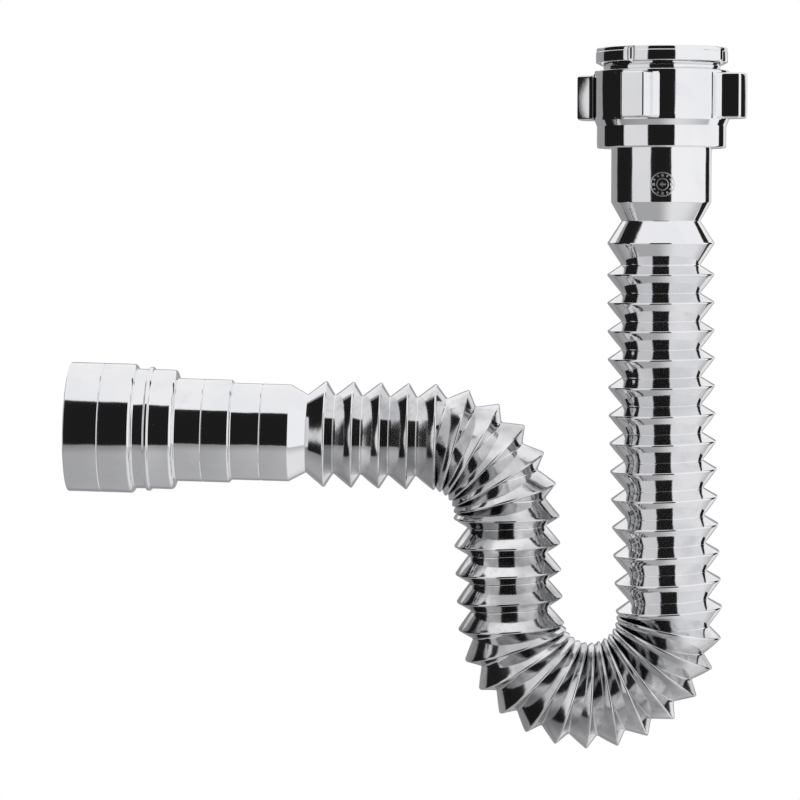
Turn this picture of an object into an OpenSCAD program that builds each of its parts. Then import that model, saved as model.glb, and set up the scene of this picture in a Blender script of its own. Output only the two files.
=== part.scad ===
// Flexible waste trap: a threaded inlet union, a corrugated hose bent into its water seal,
// and a stepped outlet that takes four sizes of pipe.
// The origin is on the inlet's axis at its top rim, +Z is up and the outlet points to -X.

/* [Inlet adapter] */
// Bore of the adapter, at the crests of its inside thread
adapter_bore_d = 39; // [34:0.1:40]
// Depth of the threaded bore, down to its washer
adapter_bore_depth = 25.5; // [16:0.1:32]
// Diameter of the flange that the fingers grip
adapter_flange_d = 50.6; // [48:0.1:62]
// Height of the flange
adapter_flange_h = 5.6; // [3:0.1:9]
// Height of the chamfer under the flange
adapter_chamfer_h = 1.4; // [0.5:0.1:2]
// Diameter of the outside thread
thread_d = 46.6; // [45:0.1:48]
// Length of the outside thread
thread_h = 11; // [6:0.1:14]
// Depth that the skirt is turned down below the thread
skirt_relief = 1.3; // [0.5:0.1:1.4]
// Thickness of the floor under the washer
adapter_floor_h = 2; // [1.5:0.1:4]
// Width of a grip notch
notch_w = 3; // [1:0.1:8]
// Depth of a grip notch
notch_depth = 1.5; // [0.5:0.1:2]
// Angle of the first grip notch from the front
notch_angle = -31; // [-45:1:45]

/* [Washers] */
// Thickness of the washer inside the adapter
adapter_washer_h = 2.5; // [1.5:0.1:4]
// Thickness of the washer inside the union
union_washer_h = 4; // [2:0.1:6]
// Bore of both washers and of the adapter's floor
washer_bore_d = 30; // [24:0.1:32]
// Gap between a washer and the wall around it
washer_clearance = 0.2; // [0.1:0.05:0.5]

/* [Union nut] */
// Diameter of the nut's body
nut_d = 51.7; // [51:0.1:64]
// Diameter of the nut's lower collar
nut_collar_d = 49.6; // [49:0.1:60]
// Height of the nut's body
nut_body_h = 19; // [18:0.1:22]
// Height of the cone between body and collar
nut_cone_h = 2.3; // [1:0.1:4]
// Thickness of the lip that lifts the cuff
nut_lip_h = 2; // [1.5:0.1:4]
// Gap between the adapter's flange and the tightened nut
nut_gap = 1.7; // [0.5:0.1:4]
// Radial running gap of the thread
thread_clearance = 0.05; // [0.02:0.01:0.1]
// Radial gap between the lip and the neck
lip_clearance = 0.75; // [0.3:0.05:1.2]
// Radius of the nut's lower edge
nut_edge_r = 0.8; // [0.2:0.1:1.2]
// Distance of a lug's outer face from the axis
lug_reach = 33.2; // [30:0.1:42]
// Height of a lug
lug_h = 17.5; // [8:0.1:18]
// Width of a lug's outer face
lug_w = 9.6; // [3:0.1:11]
// Widening of a lug from its outer face to its root
lug_flare = 3; // [0:0.1:4]
// Radius of a lug's upper and lower corners
lug_corner_r = 1.5; // [0.5:0.1:3]
// Angle of the first lug from the front
lug_angle = -23; // [-45:1:45]

/* [Cuff] */
// Diameter of the plain neck
neck_d = 38.5; // [36:0.1:41]
// Length from the cuff's top face to the neck's lower end
neck_h = 25.1; // [18:0.1:60]
// Height of the taper from the neck to the first groove
neck_taper_h = 7.2; // [4:0.1:12]
// Height of the shoulder from the first groove to the first crest
shoulder_h = 8.6; // [5:0.1:14]
// Length along the axis of the cuff's own cone
cuff_cone_h = 8.3; // [7:0.1:12]
// Thickness of the cuff's flange
cuff_flange_h = 2.4; // [1.5:0.1:4]
// Radial gap between the cuff's flange and the nut
cuff_clearance = 0.1; // [0.05:0.05:0.4]
// Wall of the neck
cuff_wall = 1.6; // [1:0.1:2.4]

/* [Hose] */
// Diameter over the crests of the corrugations
crest_d = 41.2; // [38:0.1:50]
// Diameter in the grooves between them
valley_d = 30.4; // [24:0.1:32]
// Length along the axis of the cone from a crest to its groove
cone_run = 7; // [6:0.1:10]
// Length along the axis of the fold from a groove to the next crest
fold_run = 3.83; // [3:0.01:6]
// The same length in the riser and the arm, where the hose is pushed closer
close_fold_run = 3.67; // [3:0.01:6]
// Wall of the cones
hose_wall = 0.5; // [0.4:0.05:0.8]
// Wall of the folds
fold_wall = 0.3; // [0.2:0.05:0.4]
// Radius of the bead along each crest
bead_r = 0.55; // [0.4:0.05:0.8]
// Gap left between a fold and the cones that it joins
fold_clearance = 0.25; // [0.15:0.05:0.3]
// Distance between neighbouring crests on the inside of a bend
nest_pitch = 2.6; // [2.4:0.1:4]

/* [Route] */
// Number of folds in the leg below the inlet
inlet_folds = 13; // [2:1:16]
// Lean that the inlet leg gains on its way down, in degrees
inlet_lean = -3.2; // [-6:0.1:0]
// Number of folds in the bend that holds the water
trap_folds = 13; // [12:1:16]
// Angle that the trap's bend turns through
trap_turn = 179.5; // [150:0.1:184]
// Number of folds in the riser
riser_folds = 4; // [2:1:8]
// Lean that the riser gains on its way up, in degrees
riser_lean = 2.4; // [-6:0.1:6]
// Number of folds in the elbow to the outlet
elbow_folds = 6; // [6:1:8]
// Angle that the elbow turns back through
elbow_turn = 87.3; // [60:0.1:88]
// Number of folds in the arm before the outlet
arm_folds = 4; // [1:1:8]
// Angle that the arm gains before the outlet, in degrees
arm_lean = 0.2; // [0:0.1:4]

/* [Outlet] */
// Diameter of the widest step, at the open end
step_1_d = 50.2; // [50:0.1:54]
// Length of the widest step
step_1_h = 24.4; // [12:0.1:40]
// Diameter of the second step
step_2_d = 46.5; // [44:0.1:48]
// Length of the second step
step_2_h = 12.8; // [8:0.1:24]
// Diameter of the third step
step_3_d = 40; // [39:0.1:42]
// Length of the third step
step_3_h = 20.2; // [10:0.1:30]
// Diameter of the narrowest step
step_4_d = 37.7; // [35:0.1:38]
// Length of the narrowest step
step_4_h = 21.7; // [10:0.1:30]
// Length of the taper from the last groove to the narrowest step
outlet_taper_h = 6.6; // [4:0.1:10]
// Wall of the outlet
outlet_wall = 1.8; // [1.2:0.1:2.6]
// Height of the rib around the second step
rib_height = 0.85; // [0.3:0.05:1.2]
// Width of the rib
rib_w = 1.4; // [0.6:0.1:3]
// Distance of the rib from the narrow end of its step
rib_place = 7.4; // [2:0.1:10]

/* [Hidden] */
$fn = 96;
chrome = [0.80, 0.81, 0.83];
rubber = [0.12, 0.12, 0.13];
fold_sides = 24;
// Bend in degrees up to which a fold is a plain cone
straight_bend = 0.5;
// Bend in degrees from which a fold turns about a line off the hose's axis
hinged_bend = 5;
// Lengths of the shoulders between the outlet's steps, from the narrow end
outlet_shoulders = [1.5, 2.7, 2.3];
// Step in radius from the union's thread to the cavity below it
cavity_step = 0.7;
// Step in radius from the adapter's bore to the recess for its washer
recess_step = 0.7;
// Height of a lug's lower face above the lower end of the nut's body
lug_lift = 0.3;

section_folds = [inlet_folds, trap_folds, riser_folds, elbow_folds, arm_folds];
section_turns = [inlet_lean, trap_turn, riser_lean, -elbow_turn, arm_lean];
section_names = ["inlet", "trap", "riser", "elbow", "arm"];
section_runs = [fold_run, fold_run, close_fold_run, fold_run, close_fold_run];
bends = [for (s = [0:4]) for (k = [1:section_folds[s]]) section_turns[s] / section_folds[s]];
fold_runs = [for (s = [0:4]) for (k = [1:section_folds[s]]) section_runs[s]];
fold_count = len(bends);

// Each ring is named after the section whose fold comes before it
ring_names = [
    for (s = [0:4]) for (k = [1:section_folds[s] - (s == 4 ? 1 : 0)])
        str(section_names[s], "_ring_", k < 10 ? "0" : "", k)
];

adapter_h = adapter_bore_depth + adapter_washer_h + adapter_floor_h;
thread_top = -(adapter_flange_h + adapter_chamfer_h);
nut_top = thread_top - nut_gap;
washer_top = -adapter_h;
cuff_top = washer_top - union_washer_h;
lip_top = cuff_top - cuff_flange_h;
nut_bottom = lip_top - nut_lip_h;
skirt_r = thread_d / 2 - skirt_relief;
cavity_r = thread_d / 2 - cavity_step;
washer_recess_r = adapter_bore_d / 2 + recess_step;

crest_r = crest_d / 2 - bead_r;
groove_r = valley_d / 2;
valley_r = groove_r - 0.3;
neck_bottom = cuff_top - neck_h;
groove_top = neck_bottom - neck_taper_h;
first_crest = groove_top - shoulder_h;

// Points of an arc, from one angle to another
function arc(centre, r, from, to, steps) = [
    for (k = [0:steps])
        let (a = from + (to - from) * k / steps)
            centre + r * [cos(a), sin(a)]
];

// Direction in an outline from a crest down its cone, as an angle
function cone_angle(run) = atan2(-run, valley_r - crest_r);

// Half the angle that the cone's wall covers of the bead
function bead_join() = asin(hose_wall / 2 / bead_r);

// Direction of the water, and the direction across the hose that a bend to the left has outside
function flow(heading) = [-sin(heading), 0, -cos(heading)];
function outward(heading) = [cos(heading), 0, -sin(heading)];

// Distance from the axis of the line that one fold of a bend turns about
function hinge_offset(bend) =
    abs(bend) < hinged_bend ? 0
    : (cone_run + fold_run - nest_pitch) / (2 * tan(abs(bend) / 2)) - crest_r;

// Centre of the next crest: down the cone, then turned about the fold's hinge line
function next_crest(index, crest, heading) =
    let (
        bend = bends[index],
        aside = hinge_offset(bend) * sign(bend),
        turned = heading + bend
    )
        crest + cone_run_of(index) * flow(heading) + aside * outward(heading)
        + fold_runs[index] * flow(turned) - aside * outward(turned);

function cone_run_of(index) = index == 0 ? cuff_cone_h : cone_run;

// Centre and heading of every crest, from the cuff's to the outlet's
frames = [
    for (
        i = 0, crest = [0, 0, first_crest], heading = 0;
        i <= fold_count;
        crest = i < fold_count ? next_crest(i, crest, heading) : crest,
        heading = i < fold_count ? heading + bends[i] : heading,
        i = i + 1
    ) [crest, heading]
];

module at_crest(index) {
    translate(frames[index][0]) rotate([0, frames[index][1], 0]) children();
}

module around(count, first) {
    for (k = [0:count - 1]) rotate([0, 0, first - 90 + k * 360 / count]) children();
}

module inlet_adapter() {
    flange_r = adapter_flange_d / 2;
    thread_r = thread_d / 2;
    thread_bottom = thread_top - thread_h;
    color(chrome) difference() {
        rotate_extrude() polygon([
            [adapter_bore_d / 2, 0],
            [flange_r, 0],
            [flange_r, -adapter_flange_h],
            [thread_r, thread_top],
            [thread_r, thread_bottom],
            [skirt_r, thread_bottom],
            [skirt_r, -adapter_h],
            [washer_bore_d / 2, -adapter_h],
            [washer_bore_d / 2, -adapter_h + adapter_floor_h],
            [washer_recess_r, -adapter_h + adapter_floor_h],
            [washer_recess_r, -adapter_bore_depth],
            [adapter_bore_d / 2, -adapter_bore_depth]
        ]);
        around(4, notch_angle)
            translate([flange_r - notch_depth, -notch_w / 2, -adapter_flange_h])
                cube([notch_depth + 1, notch_w, adapter_flange_h + 1]);
    }
}

module flat_washer(top, height, outer_r) {
    color(rubber) rotate_extrude()
        translate([washer_bore_d / 2, top - height])
            square([outer_r - washer_bore_d / 2, height]);
}

module adapter_washer() {
    flat_washer(-adapter_bore_depth, adapter_washer_h, washer_recess_r - washer_clearance);
}

module union_washer() {
    flat_washer(washer_top, union_washer_h, cavity_r - washer_clearance);
}

module nut_lug() {
    root = (nut_d + thread_d) / 4;
    root_half = (lug_w + lug_flare) / 2;
    lug_bottom = nut_top - nut_body_h + lug_lift;
    lug_top = lug_bottom + lug_h;
    corner = lug_reach - lug_corner_r;
    intersection() {
        rotate([90, 0, 0]) translate([0, 0, -root_half]) linear_extrude(2 * root_half) polygon(concat(
            [[root, lug_top], [root, lug_bottom]],
            arc([corner, lug_bottom + lug_corner_r], lug_corner_r, -90, 0, 6),
            arc([corner, lug_top - lug_corner_r], lug_corner_r, 0, 90, 6)
        ));
        translate([0, 0, lug_bottom - 1]) linear_extrude(lug_h + 2) polygon([
            [root, -root_half],
            [lug_reach, -lug_w / 2],
            [lug_reach, lug_w / 2],
            [root, root_half]
        ]);
    }
}

module union_nut() {
    bore_r = thread_d / 2 + thread_clearance;
    collar_r = nut_collar_d / 2;
    lip_r = neck_d / 2 + lip_clearance;
    body_bottom = nut_top - nut_body_h;
    color(chrome) {
        rotate_extrude() polygon(concat(
            [
                [bore_r, nut_top],
                [nut_d / 2, nut_top],
                [nut_d / 2, body_bottom],
                [collar_r, body_bottom - nut_cone_h]
            ],
            arc([collar_r - nut_edge_r, nut_bottom + nut_edge_r], nut_edge_r, 0, -90, 4),
            [
                [lip_r, nut_bottom],
                [lip_r, lip_top],
                [cavity_r, lip_top],
                [cavity_r, washer_top],
                [bore_r, washer_top]
            ]
        ));
        around(4, lug_angle) nut_lug();
    }
}

// The lower half of a crest's outline: round the bead, down the cone, and round its end
function cone_outline(crest_z, run, bead_from) =
    let (a = cone_angle(run), b = bead_join())
        concat(
            arc([crest_r, crest_z], bead_r, bead_from, a + b, 8),
            arc([valley_r, crest_z - run], hose_wall / 2, a + 90, a - 90, 4)
        );

module inlet_cuff() {
    neck_r = neck_d / 2;
    bore_r = neck_r - cuff_wall;
    flange_r = cavity_r - cuff_clearance;
    groove_wall = 1;
    color(chrome) rotate_extrude() polygon(concat(
        [
            [bore_r, cuff_top],
            [flange_r, cuff_top],
            [flange_r, lip_top],
            [neck_r, lip_top],
            [neck_r, neck_bottom],
            [groove_r, groove_top]
        ],
        cone_outline(first_crest, cuff_cone_h, 120),
        [
            [crest_r - hose_wall, first_crest],
            [groove_r - groove_wall, groove_top],
            [bore_r, neck_bottom + 1]
        ]
    ));
}

module hose_ring(index) {
    a = cone_angle(cone_run);
    b = bead_join();
    color(chrome) at_crest(index) rotate_extrude() polygon(concat(
        arc([crest_r, 0], bead_r, a + 360 - b, a + b, 12),
        arc([valley_r, -cone_run], hose_wall / 2, a + 90, a - 90, 4)
    ));
}

// Ends of a fold in the outlines of the crest before it and the crest after it
function fold_start(run) =
    let (off = hose_wall / 2 + fold_wall / 2 + fold_clearance, a = cone_angle(run) + 90)
        [valley_r, -run] + off * [cos(a), sin(a)];
function fold_end() = [crest_r - bead_r - fold_wall / 2 - fold_clearance, 0.3];

// A point of an outline, turned by an angle about the hose's axis, in the frame of a crest
function placed(frame, point, turn) =
    frame[0] + point[0] * (cos(turn) * outward(frame[1]) + sin(turn) * [0, 1, 0])
    - point[1] * flow(frame[1]);

function unit(v) = v / norm(v);

// A fold of a bend. Both faces of its wall are split along the same diagonals, so that it stays even
module bent_fold(index) {
    points = [
        for (k = [0:fold_sides - 1])
            let (
                turn = k * 360 / fold_sides,
                start = placed(frames[index], fold_start(cone_run_of(index)), turn),
                end = placed(frames[index + 1], fold_end(), turn),
                along = placed(frames[index], fold_start(cone_run_of(index)), turn + 1) - start,
                half_wall = fold_wall / 2 * unit(cross(end - start, along))
            )
                each [start + half_wall, end + half_wall, end - half_wall, start - half_wall]
    ];
    faces = [
        for (k = [0:fold_sides - 1])
            let (here = 4 * k, there = 4 * ((k + 1) % fold_sides))
                for (c = [0:3])
                    let (d = (c + 1) % 4)
                        each c < 2
                            ? [[here + c, here + d, there + d], [here + c, there + d, there + c]]
                            : [[here + c, here + d, there + c], [here + d, there + d, there + c]]
    ];
    polyhedron(points, faces);
}

module straight_fold(index) {
    run = cone_run_of(index);
    start = fold_start(run);
    end = fold_end() - [0, run + fold_runs[index]];
    across = fold_wall / 2 * unit([start[1] - end[1], end[0] - start[0]]);
    at_crest(index) rotate_extrude()
        polygon([start + across, end + across, end - across, start - across]);
}

module fold_group(first, count) {
    color(chrome) for (index = [first:first + count - 1])
        if (abs(bends[index]) < straight_bend) straight_fold(index);
        else bent_fold(index);
}

module inlet_leg_folds() {
    fold_group(0, inlet_folds);
}

module trap_bend_folds() {
    fold_group(inlet_folds, trap_folds);
}

module riser_folds() {
    fold_group(inlet_folds + trap_folds, riser_folds);
}

module elbow_folds() {
    fold_group(inlet_folds + trap_folds + riser_folds, elbow_folds);
}

module outlet_arm_folds() {
    fold_group(fold_count - arm_folds, arm_folds);
}

module outlet_spigot() {
    radii = [step_4_d, step_3_d, step_2_d, step_1_d] / 2;
    step_4_start = -cone_run - outlet_taper_h;
    step_4_end = step_4_start - step_4_h;
    step_3_start = step_4_end - outlet_shoulders[0];
    step_3_end = step_3_start - step_3_h;
    step_2_start = step_3_end - outlet_shoulders[1];
    step_2_end = step_2_start - step_2_h;
    step_1_start = step_2_end - outlet_shoulders[2];
    step_1_end = step_1_start - step_1_h;
    rib_z = step_2_start - rib_place;
    color(chrome) at_crest(fold_count) rotate_extrude() polygon(concat(
        arc([crest_r, 0], bead_r, 180, cone_angle(cone_run) + bead_join(), 8),
        [
            [groove_r, -cone_run],
            [radii[0], step_4_start],
            [radii[0], step_4_end],
            [radii[1], step_3_start],
            [radii[1], step_3_end],
            [radii[2], step_2_start],
            [radii[2], rib_z],
            [radii[2] + rib_height, rib_z],
            [radii[2] + rib_height, rib_z - rib_w],
            [radii[2], rib_z - rib_w],
            [radii[2], step_2_end],
            [radii[3], step_1_start],
            [radii[3], step_1_end],
            [radii[3] - outlet_wall, step_1_end],
            [radii[3] - outlet_wall, step_1_start],
            [radii[2] - outlet_wall, step_2_end],
            [radii[2] - outlet_wall, step_2_start],
            [radii[1] - outlet_wall, step_3_end],
            [radii[1] - outlet_wall, step_3_start],
            [radii[0] - outlet_wall, step_4_end],
            [radii[0] - outlet_wall, step_4_start],
            [groove_r - 1, -cone_run]
        ]
    ));
}

inlet_adapter();
adapter_washer();
union_nut();
union_washer();
inlet_cuff();
for (i = [0:len(ring_names) - 1])
    hose_ring(i + 1);
inlet_leg_folds();
trap_bend_folds();
riser_folds();
elbow_folds();
outlet_arm_folds();
outlet_spigot();
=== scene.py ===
"""A flexible waste trap in chromed plastic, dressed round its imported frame.

The file follows the trap from the basin down: adapter, its washer, union nut, its washer, cuff, rings and
folds of the hose, and the stepped outlet. Lengths are metres, and angles are radians unless a name says
degrees.
"""

import math
import random

import bpy
from mathutils import Matrix, Vector


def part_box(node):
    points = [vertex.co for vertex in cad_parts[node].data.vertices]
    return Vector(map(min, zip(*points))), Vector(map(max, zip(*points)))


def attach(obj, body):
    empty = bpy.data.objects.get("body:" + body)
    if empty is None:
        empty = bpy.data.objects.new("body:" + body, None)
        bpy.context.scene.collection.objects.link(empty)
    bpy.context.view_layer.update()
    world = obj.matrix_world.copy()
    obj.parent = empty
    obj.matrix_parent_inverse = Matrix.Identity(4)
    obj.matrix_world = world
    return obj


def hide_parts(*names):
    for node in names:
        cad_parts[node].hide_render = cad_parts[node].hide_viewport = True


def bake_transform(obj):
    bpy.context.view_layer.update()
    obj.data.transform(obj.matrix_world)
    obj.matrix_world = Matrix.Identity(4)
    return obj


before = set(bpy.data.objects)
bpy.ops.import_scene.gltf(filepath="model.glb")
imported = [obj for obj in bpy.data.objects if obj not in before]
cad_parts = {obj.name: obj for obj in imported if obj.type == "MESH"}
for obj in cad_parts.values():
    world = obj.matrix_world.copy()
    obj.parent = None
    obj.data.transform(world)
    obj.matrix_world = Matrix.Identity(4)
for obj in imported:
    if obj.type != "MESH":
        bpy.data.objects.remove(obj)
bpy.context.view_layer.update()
mm = 0.001

# ---------------------------------------------------------------------------------------------------------
# Camera. A long lens looks across the trap at the height of the cuff, a little down on the bend.
# ---------------------------------------------------------------------------------------------------------

camera_lens = 133.65
camera_place = Vector((-73.6, -1151.0, -65.5)) * mm
camera_target = Vector((-100.8, 0.0, -135.7)) * mm

bpy.ops.object.select_all(action="DESELECT")
bpy.ops.object.camera_add(location=camera_place)
camera = bpy.context.object
camera.rotation_euler = (camera_target - camera_place).to_track_quat("-Z", "Y").to_euler()
camera.data.lens = camera_lens
camera.data.sensor_width = 36.0
camera.data.clip_start = 0.01
bpy.context.scene.camera = camera

# ---------------------------------------------------------------------------------------------------------
# Studio. A white page behind the trap, and round it the white table, soft boxes and black flags that
# polished metal is lit with. They are drawn in the sky as bands of light, soft at their edges, because
# chrome only shows what it mirrors.
# ---------------------------------------------------------------------------------------------------------


class Shade:
    """One socket of a shader. Python's operators on it add the Math nodes that do the same."""

    def __init__(self, tree, socket):
        self.tree = tree
        self.socket = socket

    def node(self, kind, settings=None, inputs=None):
        """A new node of the kind, with its settings made before its sockets are set or linked."""
        made = self.tree.nodes.new(kind)
        for name, value in (settings or {}).items():
            setattr(made, name, value)
        for name, value in (inputs or {}).items():
            if isinstance(value, Shade):
                self.tree.links.new(value.socket, made.inputs[name])
            else:
                made.inputs[name].default_value = value
        return made

    def out(self, made, name=0):
        return Shade(self.tree, made.outputs[name])

    def math(self, operation, *others):
        inputs = dict(enumerate((self, *others)))
        return self.out(self.node("ShaderNodeMath", {"operation": operation}, inputs))

    def __add__(self, other):
        return self.math("ADD", other)

    __radd__ = __add__

    def __mul__(self, other):
        return self.math("MULTIPLY", other)

    __rmul__ = __mul__

    def __sub__(self, other):
        return self.math("SUBTRACT", other)

    def __rsub__(self, other):
        return (self * -1.0) + other

    def __truediv__(self, other):
        return self.math("DIVIDE", other)

    def step(self, low, high):
        """0 below low, 1 above high, and smooth between them."""
        made = self.node(
            "ShaderNodeMapRange",
            {"interpolation_type": "SMOOTHSTEP"},
            {"Value": self, "From Min": low, "From Max": high},
        )
        return self.out(made, "Result")

    def mix(self, low, high):
        """The colour low where self is 0 and the colour high where it is 1."""
        made = self.node("ShaderNodeMix", {"data_type": "RGBA"}, {0: self, 6: low, 7: high})
        return self.out(made, 2)


def new_tree(owner):
    """An empty node tree, as a Shade that makes the nodes of the tree."""
    owner.use_nodes = True
    owner.node_tree.nodes.clear()
    return Shade(owner.node_tree, None)


# Bands of the studio to the right of the camera's direction: from, to, how bright, in degrees
soft_boxes = (
    (-180.0, -126.0, 0.33),
    (-74.0, -28.0, 0.79),
    (20.0, 120.0, 1.13),
    (142.0, 160.0, 0.85),
    (160.0, 180.0, 0.36),
)
flag_glow = 0.013
table_dark, table_light = 0.43, 0.86
table_turns_light = (-0.18, 0.42)
table_shaded_degrees = (-46.0, -24.0)
table_shade = 0.4
overhead_glow = 0.97
table_edge_degrees = -27.0
overhead_edge_degrees = 50.0
backdrop_edge_degrees = 14.0
backdrop_degrees = (126.0, 142.0)
edge_softness_degrees = 1.2
past_the_back_degrees = 190.0

studio = bpy.data.worlds.new("studio")
bpy.context.scene.world = studio
sky = new_tree(studio)
way = sky.out(sky.node("ShaderNodeTexCoord"), "Generated")
parts_of_way = sky.node("ShaderNodeSeparateXYZ", None, {0: way})
across, along, up = (sky.out(parts_of_way, axis) for axis in ("X", "Y", "Z"))
azimuth = across.math("ARCTAN2", along * -1.0) * math.degrees(1.0)
elevation = up.math("ARCSINE") * math.degrees(1.0)


def edge(angle, place):
    """0 before an angle and 1 after it, with the softness of a soft box's edge."""
    return angle.step(place - edge_softness_degrees, place + edge_softness_degrees)


glow = flag_glow
for start, end, brightness in soft_boxes:
    low = start if start > -180.0 else -past_the_back_degrees
    high = end if end < 180.0 else past_the_back_degrees
    glow = (edge(azimuth, low) - edge(azimuth, high)) * brightness + glow
below = 1.0 - edge(elevation, table_edge_degrees)
behind = azimuth.math("ABSOLUTE").step(*backdrop_degrees)
higher = elevation + behind * (overhead_edge_degrees - backdrop_edge_degrees)
above = edge(higher, overhead_edge_degrees)
walls = (1.0 - below) * (1.0 - above)
table_glow = table_dark + across.step(*table_turns_light) * (table_light - table_dark)
table_glow = table_glow * (1.0 - elevation.step(*table_shaded_degrees) * table_shade)
glow = glow * walls + below * table_glow + above * overhead_glow
seen = sky.out(sky.node("ShaderNodeLightPath"), "Is Camera Ray")
light = sky.node("ShaderNodeBackground", None, {"Color": glow.mix((0, 0, 0, 1), (1, 1, 1.02, 1))})
page = sky.node("ShaderNodeBackground", None, {"Color": (1, 1, 1, 1)})
chosen = sky.node("ShaderNodeMixShader", None, {0: seen, 1: sky.out(light), 2: sky.out(page)})
sky.node("ShaderNodeOutputWorld", None, {"Surface": sky.out(chosen)})
bpy.context.scene.view_settings.view_transform = "Standard"

# ---------------------------------------------------------------------------------------------------------
# Inlet adapter. A chromed ABS moulding: a flange with four grip notches, the union's thread below it, and
# the thread of the basin's waste cut in its bore. It is moulded in one piece and screwed on by hand.
# ---------------------------------------------------------------------------------------------------------

flange_r = 25.3 * mm
flange_h = 5.6 * mm
flange_step_z = -1.5 * mm
flange_step = 0.25 * mm
thread_top = -7.0 * mm
thread_h = 11.0 * mm
thread_root_r = 22.4 * mm
thread_crest_r = 23.3 * mm
thread_pitch = 2.309 * mm
thread_half_root = 0.42 * thread_pitch
thread_half_crest = 0.10 * thread_pitch
thread_start_turn = 1.0
thread_fade_turn = 1.6
thread_sides = 96
skirt_r = 22.0 * mm
adapter_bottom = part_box("inlet_adapter")[0].z
bore_crest_r = 19.5 * mm
bore_root_r = 20.6 * mm
bore_depth = 25.5 * mm
recess_r = 20.2 * mm
floor_h = 2.0 * mm
washer_bore_r = 15.0 * mm
notch_r = 1.75 * mm
notch_depth = 1.65 * mm
notch_end = 0.72
notch_angle_degrees = -31.0
fine_edge = 0.25 * mm
soft_edge = 0.5 * mm
turn_sides = 160


def only(piece):
    """Leaves this piece alone selected and active, in object mode."""
    bpy.ops.object.select_all(action="DESELECT")
    piece.select_set(True)
    bpy.context.view_layer.objects.active = piece


def turned_corner(before, corner, after, radius, steps):
    """The points of a corner of an outline, rounded to the radius as far as its sides allow."""
    to_before = (before - corner).normalized()
    to_after = (after - corner).normalized()
    half = math.acos(max(-1.0, min(1.0, to_before.dot(to_after)))) / 2
    if radius <= 0 or half > math.radians(88):
        return [corner]
    reach = min(
        radius / math.tan(half), (before - corner).length * 0.48, (after - corner).length * 0.48
    )
    radius = reach * math.tan(half)
    centre = corner + (to_before + to_after).normalized() * (radius / math.sin(half))
    start = corner + to_before * reach - centre
    end = corner + to_after * reach - centre
    sweep = start.angle_signed(end)
    points = []
    for k in range(steps + 1):
        angle = -sweep * k / steps
        turned = Vector(
            (
                start.x * math.cos(angle) - start.y * math.sin(angle),
                start.x * math.sin(angle) + start.y * math.cos(angle),
            )
        )
        points.append(centre + turned)
    return points


def arc(centre, radius, start, end, steps):
    """Points along an arc, from one angle to another."""
    angles = [start + (end - start) * k / steps for k in range(steps + 1)]
    return [centre + radius * Vector((math.cos(a), math.sin(a))) for a in angles]


def rounded_outline(corners, steps=3):
    """A closed outline from (radius, height, rounding) corners."""
    places = [Vector((r, z)) for r, z, rounding in corners]
    points = []
    for k, (r, z, rounding) in enumerate(corners):
        following = places[(k + 1) % len(places)]
        points += turned_corner(places[k - 1], places[k], following, rounding, steps)
    return points


def turn_on_lathe(name, outline, sides=turn_sides):
    """A solid of revolution about the Z axis: the outline is drawn point by point, closed and spun."""
    bpy.ops.object.select_all(action="DESELECT")
    bpy.ops.mesh.primitive_plane_add(size=mm, location=(0, 0, 0))
    piece = bpy.context.object
    piece.name = name
    piece.data.name = name
    bpy.ops.object.mode_set(mode="EDIT")
    bpy.ops.mesh.select_all(action="SELECT")
    bpy.ops.mesh.merge(type="CENTER")
    bpy.ops.transform.translate(value=(outline[0].x, 0, outline[0].y))
    for before, after in zip(outline, outline[1:]):
        move = after - before
        bpy.ops.mesh.extrude_region_move(TRANSFORM_OT_translate={"value": (move.x, 0, move.y)})
    bpy.ops.object.mode_set(mode="OBJECT")
    for vertex in piece.data.vertices:
        ends = (outline[0], outline[-1])
        vertex.select = any((Vector((vertex.co.x, vertex.co.z)) - end).length < 1e-7 for end in ends)
    bpy.ops.object.mode_set(mode="EDIT")
    bpy.ops.mesh.edge_face_add()
    bpy.ops.mesh.select_all(action="SELECT")
    bpy.ops.mesh.spin(steps=sides, angle=2 * math.pi, center=(0, 0, 0), axis=(0, 0, 1))
    bpy.ops.mesh.select_all(action="SELECT")
    bpy.ops.mesh.remove_doubles(threshold=2e-6)
    bpy.ops.mesh.normals_make_consistent(inside=False)
    bpy.ops.object.mode_set(mode="OBJECT")
    only(piece)
    return piece


def smooth(piece, degrees=32.0):
    """Shades the round faces smooth and leaves the sharp edges sharp."""
    only(piece)
    bpy.ops.object.shade_smooth_by_angle(angle=math.radians(degrees))


def apply_modifiers(piece):
    """Makes all that the modifiers do part of the mesh."""
    only(piece)
    for modifier in list(piece.modifiers):
        bpy.ops.object.modifier_apply(modifier=modifier.name)


def cut(piece, cutter):
    """Takes the cutter's shape out of the piece."""
    modifier = piece.modifiers.new("cut", "BOOLEAN")
    modifier.operation = "DIFFERENCE"
    modifier.solver = "EXACT"
    modifier.object = cutter
    apply_modifiers(piece)
    bpy.data.objects.remove(cutter)


def join(pieces, name):
    """One piece from several, in the object of the first."""
    only(pieces[0])
    for piece in pieces:
        piece.select_set(True)
    bpy.ops.object.join()
    pieces[0].name = name
    pieces[0].data.name = name
    return pieces[0]


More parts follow.
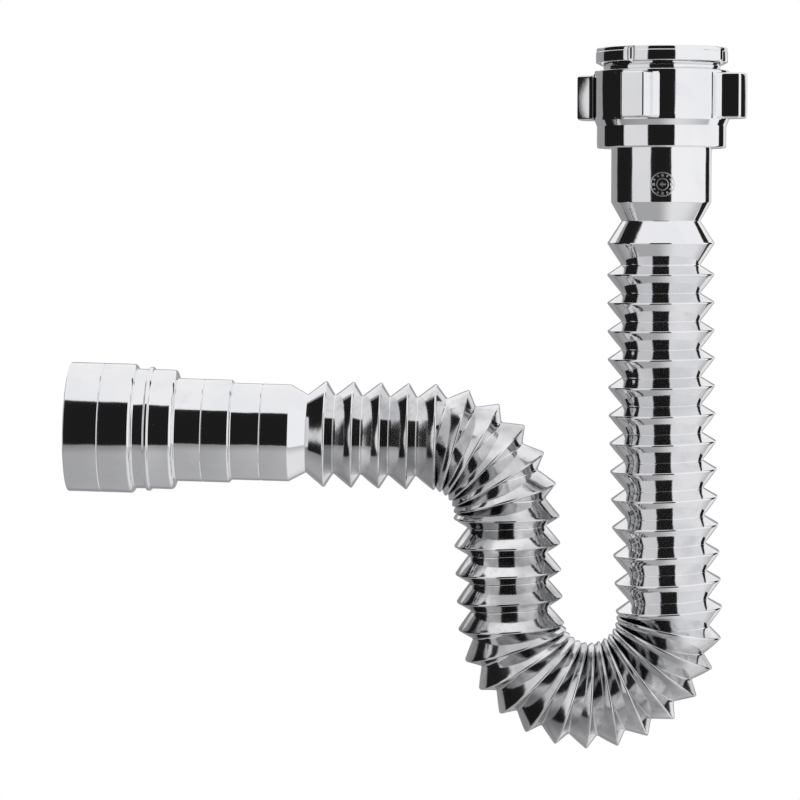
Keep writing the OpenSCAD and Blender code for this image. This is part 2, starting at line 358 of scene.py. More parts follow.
def wind_thread(name, root_r, crest_r, top, length, embed):
    """A ridge of 60 degree thread wound down from top, faded into the wall by its tapered ends."""
    turns = length / thread_pitch - 1.0
    start = top - thread_pitch / 2
    foot_r = root_r - embed
    corners = [
        (foot_r, start + thread_half_root),
        (crest_r, start + thread_half_crest),
        (crest_r, start - thread_half_crest),
        (foot_r, start - thread_half_root),
    ]
    bpy.ops.object.select_all(action="DESELECT")
    bpy.ops.mesh.primitive_plane_add(size=mm)
    ridge = bpy.context.object
    ridge.name = name
    bpy.ops.object.mode_set(mode="EDIT")
    bpy.ops.mesh.delete(type="ONLY_FACE")
    bpy.ops.object.mode_set(mode="OBJECT")
    for vertex, corner in zip((0, 1, 3, 2), corners):
        ridge.data.vertices[vertex].co = (corner[0], 0, corner[1])
    screw = ridge.modifiers.new("wind", "SCREW")
    screw.angle = -2 * math.pi * turns
    screw.screw_offset = -thread_pitch * turns
    screw.steps = int(thread_sides * turns)
    screw.render_steps = screw.steps
    apply_modifiers(ridge)
    bpy.ops.object.mode_set(mode="EDIT")
    bpy.ops.mesh.select_all(action="SELECT")
    bpy.ops.mesh.fill_holes(sides=4)
    bpy.ops.mesh.select_all(action="SELECT")
    bpy.ops.mesh.normals_make_consistent(inside=False)
    bpy.ops.object.mode_set(mode="OBJECT")
    total = math.pi * 2 * turns
    for vertex in ridge.data.vertices:
        wound = (start - vertex.co.z) / thread_pitch * 2 * math.pi
        from_an_end = min(wound, total - wound) + thread_start_turn
        fade = min(1.0, max(0.0, from_an_end) / thread_fade_turn)
        radius = math.hypot(vertex.co.x, vertex.co.y)
        wanted = foot_r + (radius - foot_r) * fade
        vertex.co.x *= wanted / radius
        vertex.co.y *= wanted / radius
    return ridge


adapter_outline = rounded_outline(
    [
        (bore_root_r, -0.9 * mm, 0.0),
        (bore_root_r + 0.7 * mm, 0.0, fine_edge),
        (flange_r - flange_step, 0.0, soft_edge),
        (flange_r - flange_step, flange_step_z, 0.0),
        (flange_r, flange_step_z - flange_step, fine_edge),
        (flange_r, -flange_h, soft_edge),
        (thread_root_r, thread_top, fine_edge),
        (thread_root_r, thread_top - thread_h, 0.0),
        (skirt_r, thread_top - thread_h - 0.4 * mm, 0.0),
        (skirt_r, adapter_bottom, fine_edge),
        (washer_bore_r, adapter_bottom, fine_edge),
        (washer_bore_r, adapter_bottom + floor_h, fine_edge),
        (recess_r, adapter_bottom + floor_h, 0.0),
        (recess_r, -bore_depth, 0.0),
        (bore_root_r, -bore_depth + 0.6 * mm, 0.0),
    ]
)
adapter = turn_on_lathe("chromed_adapter", adapter_outline)
for k in range(4):
    angle = math.radians(notch_angle_degrees - 90 + 90 * k)
    bpy.ops.object.select_all(action="DESELECT")
    bpy.ops.mesh.primitive_uv_sphere_add(segments=32, ring_count=16, radius=notch_r)
    notch = bpy.context.object
    stretch = flange_h / 2 - notch_r * notch_end
    for vertex in notch.data.vertices:
        if abs(vertex.co.z) > 1e-6:
            vertex.co.z += math.copysign(stretch, vertex.co.z)
    out = flange_r + notch_r - notch_depth
    notch.data.transform(
        Matrix.Translation((out * math.cos(angle), out * math.sin(angle), -flange_h / 2))
    )
    cut(adapter, notch)
smooth(adapter)
outer_thread = wind_thread(
    "outer_thread", thread_root_r, thread_crest_r, thread_top - 0.3 * mm, thread_h, 0.2 * mm
)
bore_thread = wind_thread(
    "bore_thread", bore_root_r, bore_crest_r, -1.2 * mm, bore_depth - 1.6 * mm, -0.2 * mm
)
for ridge in (outer_thread, bore_thread):
    smooth(ridge, 25.0)
join([adapter, outer_thread, bore_thread], "chromed_adapter")


def chrome_finish(name, wave=1.0, grain=1.0, haze=0.0, bright=1.0, shade_darkening=0.0, place=None):
    """Bright metal film under clear lacquer on moulded plastic: nearly a mirror, with the slow waves of the
    moulding, a fine orange peel, dust nibs under the lacquer and a few rubbed places. The darkening argument
    darkens the base colour as painted shade."""
    material = bpy.data.materials.new(name)
    tree = new_tree(material)
    if place:
        where = tree.out(tree.node("ShaderNodeAttribute", {"attribute_name": place}), "Vector")
    else:
        where = tree.out(tree.node("ShaderNodeTexCoord"), "Object")

    def noise(size, detail=2.0, roughness=0.5):
        made = tree.node(
            "ShaderNodeTexNoise",
            {"noise_dimensions": "3D"},
            {"Vector": where, "Scale": 1.0 / size, "Detail": detail, "Roughness": roughness},
        )
        return tree.out(made, "Fac")

    dust = tree.node(
        "ShaderNodeTexVoronoi", {"feature": "F1"}, {"Vector": where, "Scale": 1.0 / (3.2 * mm)}
    )
    nib_here = tree.out(
        tree.node("ShaderNodeSeparateColor", None, {0: tree.out(dust, "Color")}), 0
    ).step(0.72, 0.75)
    nib = (1.0 - tree.out(dust, "Distance").step(0.02, 0.075)) * nib_here
    rubbed = noise(11 * mm, 4.0, 0.6).step(0.52, 0.74)
    film = noise((26 - 50 * shade_darkening) * mm, 3.0).step(0.3, 0.7)
    # The darkening argument paints shade into both film tones, the thin one most
    thin, full = (0.82 - 1.5 * shade_darkening) * bright, (0.865 - 0.1 * shade_darkening) * bright
    tone = film.mix((thin, thin * 1.005, thin * 1.02, 1), (full, full, full * 1.005, 1))
    lacquer = rubbed.mix(tone, (thin * 0.97, thin * 0.975, thin * 0.99, 1))
    rough = 0.03 + haze + noise(0.7 * mm, 3.0) * 0.03 + rubbed * 0.03 + nib * 0.2
    height = (
        noise(13 * mm, 1.0) * (0.055 * mm * wave)
        + noise(2.4 * mm, 2.0) * (0.0048 * mm * wave)
        + noise(0.45 * mm, 2.0) * (0.0007 * mm * grain)
        + nib * (0.012 * mm * grain)
    )
    relief = tree.node("ShaderNodeBump", None, {"Strength": 1.0, "Distance": 1.0, "Height": height})
    shader = tree.node(
        "ShaderNodeBsdfPrincipled",
        None,
        {
            "Base Color": lacquer,
            "Metallic": 1.0,
            "Roughness": rough,
            "Normal": tree.out(relief, "Normal"),
        },
    )
    tree.node("ShaderNodeOutputMaterial", None, {"Surface": tree.out(shader)})
    return material


moulded_chrome = chrome_finish("moulded_chrome")


def finish_with(piece, material):
    """Gives the whole piece one finish."""
    piece.data.materials.clear()
    piece.data.materials.append(material)


finish_with(adapter, moulded_chrome)
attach(adapter, "root")
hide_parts("inlet_adapter")

# ---------------------------------------------------------------------------------------------------------
# Adapter washer. A flat ring of black rubber that lies in the recess at the bottom of the adapter's bore
# and seals on the end of the basin's waste. It is pressed in and held by its own grip.
# ---------------------------------------------------------------------------------------------------------


def rubber_finish(name):
    """Matt black rubber with a bloom of talc and the drag marks of its mould."""
    material = bpy.data.materials.new(name)
    tree = new_tree(material)
    where = tree.out(tree.node("ShaderNodeTexCoord"), "Object")

    def noise(size, detail):
        made = tree.node(
            "ShaderNodeTexNoise", None, {"Vector": where, "Scale": 1.0 / size, "Detail": detail}
        )
        return tree.out(made, "Fac")

    bloom = noise(4 * mm, 4.0).step(0.45, 0.75)
    relief = tree.node(
        "ShaderNodeBump",
        None,
        {"Strength": 0.6, "Distance": 1.0, "Height": noise(0.3 * mm, 3.0) * (0.02 * mm)},
    )
    shader = tree.node(
        "ShaderNodeBsdfPrincipled",
        None,
        {
            "Base Color": bloom.mix((0.012, 0.012, 0.013, 1), (0.045, 0.044, 0.042, 1)),
            "Roughness": 0.62 + bloom * 0.22,
            "Normal": tree.out(relief, "Normal"),
        },
    )
    tree.node("ShaderNodeOutputMaterial", None, {"Surface": tree.out(shader)})
    return material


washer_rubber = rubber_finish("washer_rubber")
washer_edge = 0.35 * mm
washer_groove = 0.12 * mm
washer_groove_half = 0.3 * mm
washer_groove_edge = 0.05 * mm


def flat_washer(name, node, body):
    """A rubber ring that fills the node's own space, with eased edges and a low groove round its rim."""
    low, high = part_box(node)
    middle = (low.z + high.z) / 2
    ring = turn_on_lathe(
        name,
        rounded_outline(
            [
                (washer_bore_r, high.z, washer_edge),
                (high.x, high.z, washer_edge),
                (high.x, middle + washer_groove_half, washer_groove_edge),
                (high.x - washer_groove, middle, washer_groove_edge),
                (high.x, middle - washer_groove_half, washer_groove_edge),
                (high.x, low.z, washer_edge),
                (washer_bore_r, low.z, washer_edge),
            ]
        ),
    )
    smooth(ring)
    finish_with(ring, washer_rubber)
    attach(ring, body)
    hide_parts(node)
    return ring


flat_washer("rubber_adapter_washer", "adapter_washer", "root")

# ---------------------------------------------------------------------------------------------------------
# Union nut. A chromed ABS moulding with four hollow-backed lugs for the hand. Its thread runs on the
# adapter and its lip lifts the cuff against the union washer.
# ---------------------------------------------------------------------------------------------------------

nut_low, nut_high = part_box("union_nut")
nut_top = nut_high.z
nut_bottom = nut_low.z
nut_r = 25.85 * mm
nut_body_h = 19.0 * mm
nut_cone_h = 2.3 * mm
nut_line_z = -25.5 * mm
collar_r = 24.8 * mm
collar_edge = 0.8 * mm
nut_bore_r = 23.35 * mm
nut_root_r = 23.95 * mm
cavity_r = 22.6 * mm
lip_r = 20.0 * mm
lip_top = nut_bottom + 2.0 * mm
lug_reach = 33.2 * mm
lug_half_w = 4.8 * mm
lug_root_half = 10.2 * mm
lug_draft_degrees = 12.0
lug_h = 17.5 * mm
lug_lift = 0.3 * mm
lug_end_r = 1.2 * mm
lug_side_r = 1.2 * mm
lug_root_fillet = 4.5 * mm
lug_angle_degrees = -23.0

nut_body_bottom = nut_top - nut_body_h
nut = turn_on_lathe(
    "chromed_union_nut",
    rounded_outline(
        [
            (nut_root_r, nut_top, fine_edge),
            (nut_r, nut_top, soft_edge),
            (nut_r, nut_line_z, 0.0),
            (nut_r - 0.06 * mm, nut_line_z - 0.12 * mm, 0.0),
            (nut_r - 0.06 * mm, nut_body_bottom, 0.6 * mm),
            (collar_r, nut_body_bottom - nut_cone_h, 0.6 * mm),
            (collar_r, nut_bottom, collar_edge),
            (lip_r, nut_bottom, 0.3 * mm),
            (lip_r, lip_top, fine_edge),
            (cavity_r, lip_top, 0.0),
            (cavity_r, adapter_bottom, 0.0),
            (nut_root_r, adapter_bottom + 0.6 * mm, 0.0),
        ],
        steps=4,
    ),
)


def lug_outline(inset, steps=6):
    """A lug seen from above: out of the wall through a wide hollow fillet, along a flank with draft and
    round the edge of its outer face. The inset draws the outer faces in, for the rounded ends."""
    face = Vector((lug_reach - inset, lug_half_w - inset))
    root = Vector((nut_r - 0.25 * mm, 0))
    root.y = face.y + (face.x - root.x) * math.tan(math.radians(lug_draft_degrees))
    on_wall = Vector((math.sqrt((nut_r - 0.1 * mm) ** 2 - lug_root_half**2), lug_root_half))
    half = [Vector((nut_r - 1.8 * mm, lug_root_half))]
    half += turned_corner(on_wall, root, face, lug_root_fillet, steps)
    half += turned_corner(root, face, Vector((face.x, 0)), lug_side_r, steps)
    return half + [Vector((p.x, -p.y)) for p in reversed(half)]


def mould_lug(name):
    """One lug, raised level by level from its outline, with its upper and lower edges rounded."""
    bottom = nut_body_bottom + lug_lift
    levels = []
    for k in range(4):
        angle = math.pi / 2 * k / 3
        levels.append((lug_end_r * (1 - math.sin(angle)), lug_end_r * (1 - math.cos(angle))))
    levels = [(bottom + rise, inset) for inset, rise in levels]
    levels += [(2 * bottom + lug_h - z, inset) for z, inset in reversed(levels)]
    outline = lug_outline(levels[0][1])
    bpy.ops.object.select_all(action="DESELECT")
    bpy.ops.mesh.primitive_circle_add(vertices=len(outline), radius=mm, fill_type="NGON")
    lug = bpy.context.object
    lug.name = name
    for vertex, point in zip(lug.data.vertices, outline):
        vertex.co = (point.x, point.y, levels[0][0])
    for (z, inset), (next_z, next_inset) in zip(levels, levels[1:]):
        bpy.ops.object.mode_set(mode="EDIT")
        bpy.ops.mesh.extrude_region_move(TRANSFORM_OT_translate={"value": (0, 0, next_z - z)})
        bpy.ops.object.mode_set(mode="OBJECT")
        before, after = lug_outline(inset), lug_outline(next_inset)
        for vertex in lug.data.vertices:
            if vertex.select:
                flat = Vector((vertex.co.x, vertex.co.y))
                nearest = min(range(len(before)), key=lambda i: (before[i] - flat).length)
                vertex.co.x, vertex.co.y = after[nearest]
    bpy.ops.object.mode_set(mode="EDIT")
    bpy.ops.mesh.select_all(action="SELECT")
    bpy.ops.mesh.normals_make_consistent(inside=False)
    bpy.ops.object.mode_set(mode="OBJECT")
    return lug


for k in range(4):
    lug = mould_lug("lug")
    lug.data.transform(Matrix.Rotation(math.radians(lug_angle_degrees - 90 + 90 * k), 4, "Z"))
    union = nut.modifiers.new("lug", "BOOLEAN")
    union.operation = "UNION"
    union.solver = "EXACT"
    union.object = lug
    apply_modifiers(nut)
    bpy.data.objects.remove(lug)
smooth(nut, 30.0)
nut_thread = wind_thread(
    "nut_thread", nut_root_r, nut_bore_r, nut_top - 0.8 * mm, 15.0 * mm, -0.2 * mm
)
smooth(nut_thread, 25.0)
join([nut, nut_thread], "chromed_union_nut")
finish_with(nut, moulded_chrome)
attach(nut, "nut")
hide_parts("union_nut")

# ---------------------------------------------------------------------------------------------------------
# Union washer. A thicker rubber ring between the adapter's lower face and the cuff's flange. It rides
# down with the cuff when the nut is slackened.
# ---------------------------------------------------------------------------------------------------------

flat_washer("rubber_union_washer", "union_washer", "washer")

# ---------------------------------------------------------------------------------------------------------
# Cuff. The plain upper end of the blown hose: a flange inside the nut, a straight neck with a moulding
# stamp, a taper, and a tall shoulder up to the first crest. All of the hose is one piece of chromed plastic.
# ---------------------------------------------------------------------------------------------------------

crest_r = 20.6 * mm
crest_round = 0.65 * mm
round_r = crest_r - crest_round
valley_r = 14.9 * mm
groove_r = 15.2 * mm
cone_run = 7.0 * mm
cuff_cone_h = 8.3 * mm
hose_wall = 0.5 * mm
neck_r = 19.25 * mm
neck_bore_r = 17.65 * mm
cuff_flange_r = 22.5 * mm
cuff_top = -34.0 * mm
neck_bottom = -59.1 * mm
groove_top = -66.3 * mm
first_crest = -74.9 * mm
groove_wall = 1.0 * mm
groove_round = 0.6 * mm
groove_lap = 0.12 * mm
groove_turn = 0.79
cone_rows = 6
crest_steps = 14
inner_steps = 8
inner_end = math.radians(150)


def cone_facing(run):
    """Direction that the outer face of a cone looks in, in its outline. The face touches the round of the
    crest and the round end of the cone."""
    slope = Vector((round_r - valley_r, run))
    lean = math.asin((crest_round - hose_wall / 2) / slope.length)
    return math.atan2(slope.y, slope.x) - math.pi / 2 - lean


def facing_from(point, crest_z, side):
    """The same for a face that runs from a point to the round of a crest: side 1 above it, -1 below."""
    slope = Vector((round_r, crest_z)) - point
    lean = math.asin(crest_round / slope.length)
    return math.atan2(slope.y, slope.x) + side * (math.pi / 2 + lean)


def towards(angle):
    """The unit vector at an angle in an outline."""
    return Vector((math.cos(angle), math.sin(angle)))


def crest_and_cone(crest_z, run, outer_from, inner_to):
    """The outline of a crest's round, the cone below it and the hollow of the groove at its foot, down the
    outside and back up the inside."""
    centre, tip = Vector((round_r, crest_z)), Vector((valley_r, crest_z - run))
    facing = cone_facing(run)
    out = towards(facing)
    inner_round = crest_round - hose_wall
    points = arc(centre, crest_round, outer_from, facing, crest_steps)
    start, end = centre + crest_round * out, tip + hose_wall / 2 * out
    points += [start.lerp(end, k / cone_rows) for k in range(1, cone_rows)]
    groove = end + groove_lap * towards(facing + math.pi / 2)
    hollow = groove + groove_round * math.sqrt(2.0) * towards(facing + groove_turn)
    points += arc(hollow, groove_round, facing + math.pi, facing + 1.5 * math.pi - 0.1, 6)
    points += arc(tip, hose_wall / 2, facing - 0.8, facing - math.pi, 5)
    start, end = tip - hose_wall / 2 * out, centre + inner_round * out
    points += [start.lerp(end, k / cone_rows) for k in range(1, cone_rows)]
    points += arc(centre, inner_round, facing, inner_to, inner_steps)
    return points


grain_step = 17 * mm


def note_grain(piece, index):
    """Writes on a stretch of hose, in its own frame, its place in the grain of the plastic."""
    grain = piece.data.attributes.new("grain_place", "FLOAT_VECTOR", "POINT")
    shift = Vector((0.0, 0.0, -grain_step * index))
    for vertex in piece.data.vertices:
        grain.data[vertex.index].vector = vertex.co + shift


groove_corner = Vector((groove_r, groove_top))
shoulder_facing = facing_from(groove_corner, first_crest, 1)
cuff_points = rounded_outline(
    [
        (groove_r - groove_wall, groove_top, 0.0),
        (neck_bore_r, neck_bottom + 1 * mm, 0.0),
        (neck_bore_r, cuff_top, fine_edge),
        (cuff_flange_r, cuff_top, fine_edge),
        (cuff_flange_r, cuff_top - 2.4 * mm, fine_edge),
        (neck_r, cuff_top - 2.4 * mm, fine_edge),
        (neck_r, neck_bottom, 1.1 * mm),
        (groove_r, groove_top, 0.3 * mm),
        (round_r, first_crest + 1.2 * mm, 0.0),
    ],
    steps=4,
)[:-1]
cuff_points += crest_and_cone(first_crest, cuff_cone_h, shoulder_facing, shoulder_facing)
cuff = turn_on_lathe("chromed_cuff", cuff_points)
smooth(cuff, 26.0)

hose_chrome = chrome_finish("hose_chrome", wave=2.0, grain=0.5, haze=0.03, place="grain_place")

# The mould maker's dated dial on the neck, with plain marks only
stamp_place = Vector((-0.7 * mm, -52.4 * mm))
stamp_rings = ((4.7 * mm, 4.25 * mm), (2.4 * mm, 2.0 * mm))
stamp_marks = 12
stamp_mark_end = 4.0 * mm
stamp_long_mark = (2.9 * mm, 0.5 * mm)
stamp_short_mark = (3.2 * mm, 0.3 * mm)
stamp_relief = 0.09 * mm
stamp_foot = 0.1 * mm
stamp_sides = 48


def wrap_on_neck(piece):
    """Bends a flat relief round the front of the neck."""
    for vertex in piece.data.vertices:
        aside, height, rise = vertex.co
        angle = (aside + stamp_place.x) / neck_r
        radius = neck_r + rise
        vertex.co = (radius * math.sin(angle), -radius * math.cos(angle), height + stamp_place.y)


def flat_relief(name, outline, inner=None):
    """A low relief on the neck, of an outline or of the ring between it and its copy at the size inner."""
    bpy.ops.object.select_all(action="DESELECT")
    bpy.ops.mesh.primitive_circle_add(vertices=len(outline), radius=mm)
    relief = bpy.context.object
    relief.name = name
    for vertex, point in zip(relief.data.vertices, outline):
        vertex.co = (point.x, point.y, -stamp_foot)
    bpy.ops.object.mode_set(mode="EDIT")
    bpy.ops.mesh.select_all(action="SELECT")
    if inner:
        bpy.ops.mesh.extrude_edges_move()
        bpy.ops.transform.resize(value=(inner, inner, 1))
        bpy.ops.mesh.select_all(action="SELECT")
    else:
        bpy.ops.mesh.edge_face_add()
    rise = (0, 0, stamp_foot + stamp_relief)
    bpy.ops.mesh.extrude_region_move(TRANSFORM_OT_translate={"value": rise})
    bpy.ops.mesh.select_all(action="SELECT")
    bpy.ops.mesh.normals_make_consistent(inside=False)
    bpy.ops.object.mode_set(mode="OBJECT")
    wrap_on_neck(relief)
    smooth(relief, 40.0)
    return relief


reliefs = []
for ring_outer, ring_inner in stamp_rings:
    last_turn = 2 * math.pi * (stamp_sides - 1) / stamp_sides
    rim = arc(Vector((0, 0)), ring_outer, 0, last_turn, stamp_sides - 1)
    reliefs.append(flat_relief("stamp_ring", rim, inner=ring_inner / ring_outer))
for k in range(stamp_marks):
    turn = Matrix.Rotation(2 * math.pi * k / stamp_marks, 2)
    start, half_w = stamp_long_mark if k % 3 == 0 else stamp_short_mark
    end = stamp_mark_end
    corners = [(start, -half_w), (end, -half_w), (end, half_w), (start, half_w)]
    reliefs.append(flat_relief("stamp_mark", [turn @ Vector(corner) for corner in corners]))
arrow = [(-1.25, 0.0), (0.1, 0.95), (0.1, 0.35), (1.25, 0.35), (1.25, -0.35), (0.1, -0.35), (0.1, -0.95)]
reliefs.append(flat_relief("stamp_arrow", [Vector((x, y)) * mm for x, y in arrow]))
stamped_chrome = chrome_finish("stamped_chrome", grain=3.0, haze=0.3, bright=1.15)
for relief in reliefs:
    finish_with(relief, stamped_chrome)
finish_with(cuff, hose_chrome)
join([cuff] + reliefs, "chromed_cuff")
note_grain(cuff, 0)
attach(cuff, "cuff")
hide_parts("inlet_cuff")

# ---------------------------------------------------------------------------------------------------------
# Rings of the hose. Each is the round of a crest and the stiff cone below it. The cones keep their shape
# when the hose is bent, and only the folds between them give.
# ---------------------------------------------------------------------------------------------------------

fold_run = 3.83 * mm
close_fold_run = 3.67 * mm
nest_pitch = 2.6 * mm
hinged_bend_degrees = 5.0
sections = (
    ("inlet", "inlet_leg_folds", 13, -3.2, fold_run),
    ("trap", "trap_bend_folds", 13, 179.5, fold_run),
    ("riser", "riser_folds", 4, 2.4, close_fold_run),
    ("elbow", "elbow_folds", 6, -87.3, fold_run),
    ("arm", "outlet_arm_folds", 4, 0.2, close_fold_run),
)
hinge_crest_r = 20.05 * mm


def flow(heading):
    """The way the water runs, at a heading in degrees."""
    return Vector((-math.sin(math.radians(heading)), 0, -math.cos(math.radians(heading))))


def outward(heading):
    """The side of the hose that a turn to the left has outside."""
    return Vector((math.cos(math.radians(heading)), 0, -math.sin(math.radians(heading))))


def hinge_offset(bend):
    """Distance from the hose's axis of the line that one fold of a tight bend turns about."""
    if abs(bend) < hinged_bend_degrees:
        return 0.0
    half = math.radians(abs(bend)) / 2
    return (cone_run + fold_run - nest_pitch) / (2 * math.tan(half)) - hinge_crest_r


def cone_run_of(index):
    """Length along the hose of the cone below a crest. The cuff's own cone is longer."""
    return cuff_cone_h if index == 0 else cone_run


def at_crest(crest, heading):
    """The frame of a crest, with its Z axis against the flow."""
    return Matrix.Translation(crest) @ Matrix.Rotation(math.radians(heading), 4, "Y")


crest_frames = [at_crest(Vector((0, 0, first_crest)), 0.0)]
crest_bodies = ["cuff"]
fold_jobs = []
crest, heading = Vector((0, 0, first_crest)), 0.0
for section, group, count, turn, run in sections:
    bend = turn / count
    for k in range(1, count + 1):
        aside = math.copysign(hinge_offset(bend), bend)
        down_cone = cone_run_of(len(crest_frames) - 1)
        crest = crest + down_cone * flow(heading) + aside * outward(heading)
        heading += bend
        crest = crest + run * flow(heading) - aside * outward(heading)
        last = section == "arm" and k == count
        crest_frames.append(at_crest(crest, heading))
        crest_bodies.append("outlet" if last else f"{section}_ring_{k:02d}")
        fold_jobs.append((f"{section}_fold_{k:02d}", group if k == 1 else None))

# Each section's base colour is darkened as painted shade, most on the bends and riser, for the shade that
# falls on what they mirror: section, how much painted shade, how hazy
section_shade_and_haze = (
    ("inlet", 0.04, 0.03),
    ("trap", 0.22, 0.07),
    ("riser", 0.26, 0.05),
    ("elbow", 0.2, 0.06),
    ("arm", 0.13, 0.04),
)
section_wave, section_grain = 2.6, 0.2
shaded_section_chrome = {}
# Painted shade: each section's chrome gets its own darkened base colour
for section, shade_darkening, haze in section_shade_and_haze:
    shaded_section_chrome[section] = chrome_finish(
        f"{section}_chrome", section_wave, section_grain, haze, shade_darkening=shade_darkening, place="grain_place"
    )

ring_points = crest_and_cone(0.0, cone_run, inner_end, inner_end)
ring_pattern = turn_on_lathe("ring_pattern", ring_points, sides=144)
smooth(ring_pattern, 26.0)
chance = random.Random(40)


def copy_of(pattern, name):
    """A copy with its own mesh."""
    copy = pattern.copy()
    copy.data = pattern.data.copy()
    copy.name = name
    copy.data.name = name
    bpy.context.scene.collection.objects.link(copy)
    return copy


def draw_swell(least_bow, most_bow, most_wave, counts):
    """How far blowing pushes the middle of one cone or skin out, at each turn round the hose: a bow, and
    waves in these counts. The sizes are drawn in millimetres."""
    bow = chance.uniform(least_bow, most_bow) * mm
    waves = [(k, chance.uniform(0.0, most_wave) * mm, chance.uniform(0, 2 * math.pi)) for k in counts]

    def swell(turn):
        return bow + sum(size * math.sin(k * turn + phase) for k, size, phase in waves)

    return swell


def blow_out(ring):
    """Curves a ring's cone a little, as blowing does, with slow unevenness round the hose."""
    out = towards(cone_facing(cone_run))
    slope = Vector((round_r - valley_r, cone_run))
    swell = draw_swell(0.03, 0.13, 0.035, (2, 3, 5))
    for vertex in ring.data.vertices:
        radius = math.hypot(vertex.co.x, vertex.co.y)
        turn = math.atan2(vertex.co.y, vertex.co.x)
        share = (Vector((radius - valley_r, vertex.co.z + cone_run)).dot(slope)) / slope.length_squared
        if 0 < share < 1:
            push = 4 * share * (1 - share) * swell(turn)
            grown = (radius + push * out.x) / radius
            vertex.co = (vertex.co.x * grown, vertex.co.y * grown, vertex.co.z + push * out.y)


for index in range(1, len(crest_frames) - 1):
    body = crest_bodies[index]
    ring = copy_of(ring_pattern, f"chromed_{body}")
    blow_out(ring)
    note_grain(ring, index)
    ring.data.transform(crest_frames[index])
    finish_with(ring, shaded_section_chrome[body.split("_")[0]])
    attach(ring, body)
    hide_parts(body)
bpy.data.objects.remove(ring_pattern)

# ---------------------------------------------------------------------------------------------------------
# Folds of the hose. From each groove a thinner skin runs to the next crest. It opens on the outside of a
# bend and tucks in under the cone on the inside. In the real trap the skins are what flexes; here each is
# drawn in the rest pose and left fixed, on no body.
# ---------------------------------------------------------------------------------------------------------

fold_wall = 0.3 * mm
fold_sides = 144
fold_cuts = 5


def fold_end(turn, start):
    """Where a skin that comes from start touches the round of its crest, in the crest's frame, and the
    direction that it faces."""
    aside = Vector((math.cos(turn), math.sin(turn), 0))
    round_centre = round_r * aside
    slope = round_centre - start
    touching_r = crest_round - fold_wall / 2
    face = slope.cross(Vector((-aside.y, aside.x, 0))).normalized()
    lean = math.asin(touching_r / slope.length)
    face = math.cos(lean) * face - math.sin(lean) * slope.normalized()
    return round_centre + touching_r * face, face


def stretch_fold(name, index):
    """A skin drawn from one ring's groove to the next ring's crest, blown a little, then given its wall."""
    run = cone_run_of(index)
    here, there = crest_frames[index], crest_frames[index + 1]
    between = there.inverted() @ here
    bpy.ops.object.select_all(action="DESELECT")
    bpy.ops.mesh.primitive_circle_add(vertices=fold_sides, radius=valley_r, location=(0, 0, 0))
    fold = bpy.context.object
    fold.name = name
    fold.data.name = name
    bpy.ops.object.mode_set(mode="EDIT")
    bpy.ops.mesh.select_all(action="SELECT")
    bpy.ops.mesh.extrude_region_move(TRANSFORM_OT_translate={"value": (0, 0, -run)})
    bpy.ops.object.mode_set(mode="OBJECT")
    mesh = fold.data
    blend = mesh.attributes.new("along_fold", "FLOAT", "POINT")
    facing = mesh.attributes.new("fold_facing", "FLOAT_VECTOR", "POINT")
    for vertex in mesh.vertices:
        turn = math.atan2(vertex.co.y, vertex.co.x)
        groove = between @ Vector((valley_r * math.cos(turn), valley_r * math.sin(turn), -run))
        end, face = fold_end(turn, groove)
        at_end = vertex.co.z < -run / 2
        blend.data[vertex.index].value = 1.0 if at_end else 0.0
        facing.data[vertex.index].vector = face
        vertex.co = end if at_end else groove
    bpy.ops.object.mode_set(mode="EDIT")
    bpy.ops.mesh.select_all(action="DESELECT")
    bpy.ops.object.mode_set(mode="OBJECT")
    for side in mesh.edges:
        a, b = side.vertices
        side.select = abs(blend.data[a].value - blend.data[b].value) > 0.5
    bpy.ops.object.mode_set(mode="EDIT")
    bpy.ops.mesh.select_mode(type="EDGE")
    bpy.ops.mesh.subdivide(number_cuts=fold_cuts)
    bpy.ops.mesh.select_mode(type="VERT")
    bpy.ops.mesh.select_all(action="SELECT")
    bpy.ops.mesh.normals_make_consistent(inside=False)
    bpy.ops.object.mode_set(mode="OBJECT")
    swell = draw_swell(0.02, 0.10, 0.03, (2, 3, 7))
    shares = mesh.attributes["along_fold"].data
    faces = mesh.attributes["fold_facing"].data
    for vertex in mesh.vertices:
        share = shares[vertex.index].value
        turn = math.atan2(vertex.co.y, vertex.co.x)
        push = 4 * share * (1 - share) * swell(turn)
        vertex.co += push * faces[vertex.index].vector.normalized()
    wall = fold.modifiers.new("wall", "SOLIDIFY")
    wall.thickness = fold_wall
    wall.offset = 0.0
    apply_modifiers(fold)
    smooth(fold, 40.0)
    note_grain(fold, index + 1)
    fold.data.transform(there)
    return fold


for index, (name, group) in enumerate(fold_jobs):
    fold = stretch_fold(f"chromed_{name}", index)
    finish_with(fold, shaded_section_chrome[name.split("_")[0]])
    shares = [0.0] * len(fold.data.vertices)
    fold.data.attributes["along_fold"].data.foreach_get("value", shares)
    start = crest_frames[index] @ Vector((0, 0, -cone_run))
    end = crest_frames[index + 1].translation
    crest_bodies[index + 1]
    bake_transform(fold)
    if group:
        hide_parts(group)

# ---------------------------------------------------------------------------------------------------------
# Outlet spigot. The blown end of the hose, stepped for four sizes of waste pipe. Each step has a fine line
# to cut along, the second a rib that stops the seal, and the wide end is left open.
# ---------------------------------------------------------------------------------------------------------

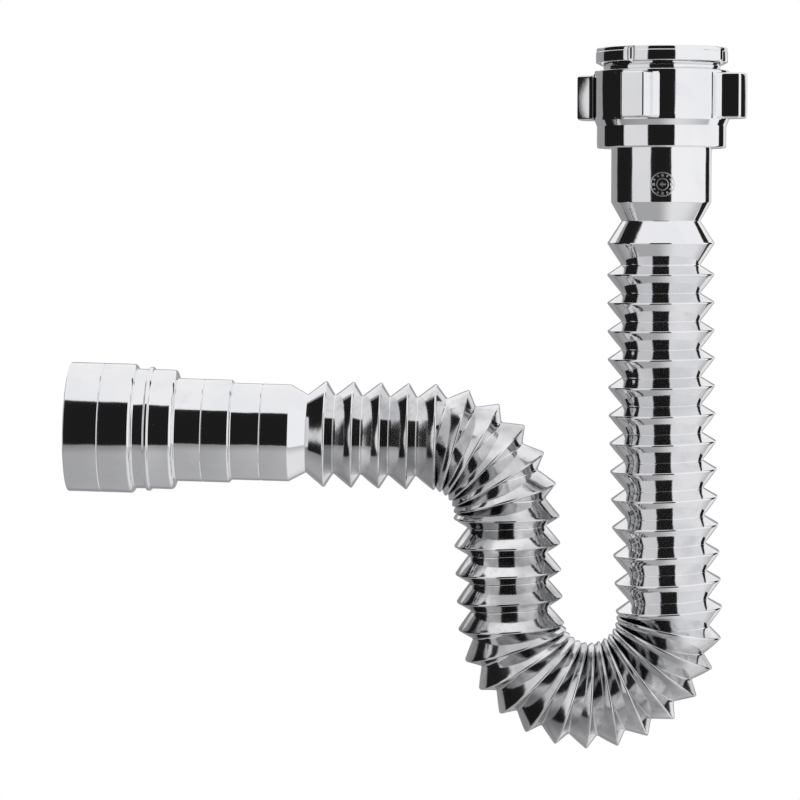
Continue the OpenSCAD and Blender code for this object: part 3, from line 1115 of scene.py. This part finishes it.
outlet_wall = 1.8 * mm
line_depth = 0.3 * mm
line_half = 0.3 * mm
line_edge = 0.05 * mm
rib_height = 0.85 * mm
rib_half = 0.85 * mm
step_r = (18.85 * mm, 20.0 * mm, 23.25 * mm, 25.1 * mm)
step_start = (-13.6 * mm, -35.9 * mm, -57.4 * mm, -73.1 * mm)
outlet_end = -99.2 * mm
rib_z = -67.8 * mm
cut_line_z = (-24.5 * mm, -46.9 * mm, None, -86.0 * mm)
root_fillet = 0.35 * mm
shoulder_round = 1.5 * mm
shoulder_lean = 0.25 * mm


def cut_line(radius, z):
    """The fine groove that a saw follows when the outlet is cut to fit its pipe."""
    return [
        (radius, z + line_half, line_edge),
        (radius - line_depth, z, line_edge),
        (radius, z - line_half, line_edge),
    ]


def step_shoulder(narrow, wide, z):
    """The blown shoulder between two steps: a small fillet, a flat, and a full round edge."""
    rounding = min(wide - narrow - root_fillet, shoulder_round)
    places = [(narrow, z + root_fillet, 0.0), (narrow + root_fillet * 0.35, z + root_fillet * 0.3, 0.0)]
    places.append((narrow + root_fillet, z, 0.0))
    centre = Vector((wide - rounding, z - shoulder_lean - rounding))
    for point in arc(centre, rounding, math.radians(88), 0.0, 8):
        places.append((point.x, point.y, 0.0))
    return places


neck_corner = Vector((groove_r, -cone_run))
outlet_places = [(groove_r, -cone_run, 0.25 * mm), (step_r[0], step_start[0], 1.3 * mm)]
outlet_places += cut_line(step_r[0], cut_line_z[0])
outlet_places += step_shoulder(step_r[0], step_r[1], step_start[1])
outlet_places += cut_line(step_r[1], cut_line_z[1])
outlet_places += step_shoulder(step_r[1], step_r[2], step_start[2])
outlet_places += [
    (step_r[2], rib_z + rib_half + 0.2 * mm, 0.2 * mm),
    (step_r[2] + rib_height, rib_z + rib_half - 0.1 * mm, 0.6 * mm),
    (step_r[2] + rib_height, rib_z - rib_half + 0.1 * mm, 0.6 * mm),
    (step_r[2], rib_z - rib_half - 0.2 * mm, 0.2 * mm),
]
outlet_places += step_shoulder(step_r[2], step_r[3], step_start[3])
outlet_places += cut_line(step_r[3], cut_line_z[3])
outlet_places += [
    (step_r[3], outlet_end, 0.35 * mm),
    (step_r[3] - outlet_wall, outlet_end, 0.35 * mm),
    (step_r[3] - outlet_wall, step_start[3] - 1.6 * mm, 0.8 * mm),
    (step_r[2] - outlet_wall, step_start[3] + 0.6 * mm, 0.5 * mm),
    (step_r[2] - outlet_wall, step_start[2] - 2.4 * mm, 0.8 * mm),
    (step_r[1] - outlet_wall, step_start[2] + 0.6 * mm, 0.5 * mm),
    (step_r[1] - outlet_wall, step_start[1] - 0.9 * mm, 0.3 * mm),
    (step_r[0] - outlet_wall, step_start[1] + 0.6 * mm, 0.3 * mm),
    (step_r[0] - outlet_wall, step_start[0], 1.0 * mm),
    (groove_r - groove_wall, -cone_run, 0.0),
]
outlet_points = rounded_outline(outlet_places + [(round_r, -1.2 * mm, 0.0)], steps=4)[:-1]
neck_facing = facing_from(neck_corner, 0.0, -1)
last_crest = Vector((round_r, 0))
outlet_points += arc(last_crest, crest_round - hose_wall, neck_facing, inner_end, inner_steps)
outlet_points += arc(last_crest, crest_round, inner_end, neck_facing, crest_steps)
spigot = turn_on_lathe("chromed_outlet_spigot", outlet_points)
smooth(spigot, 26.0)
note_grain(spigot, len(crest_frames))
spigot.data.transform(crest_frames[-1])
finish_with(spigot, hose_chrome)
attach(spigot, "outlet")
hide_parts("outlet_spigot")
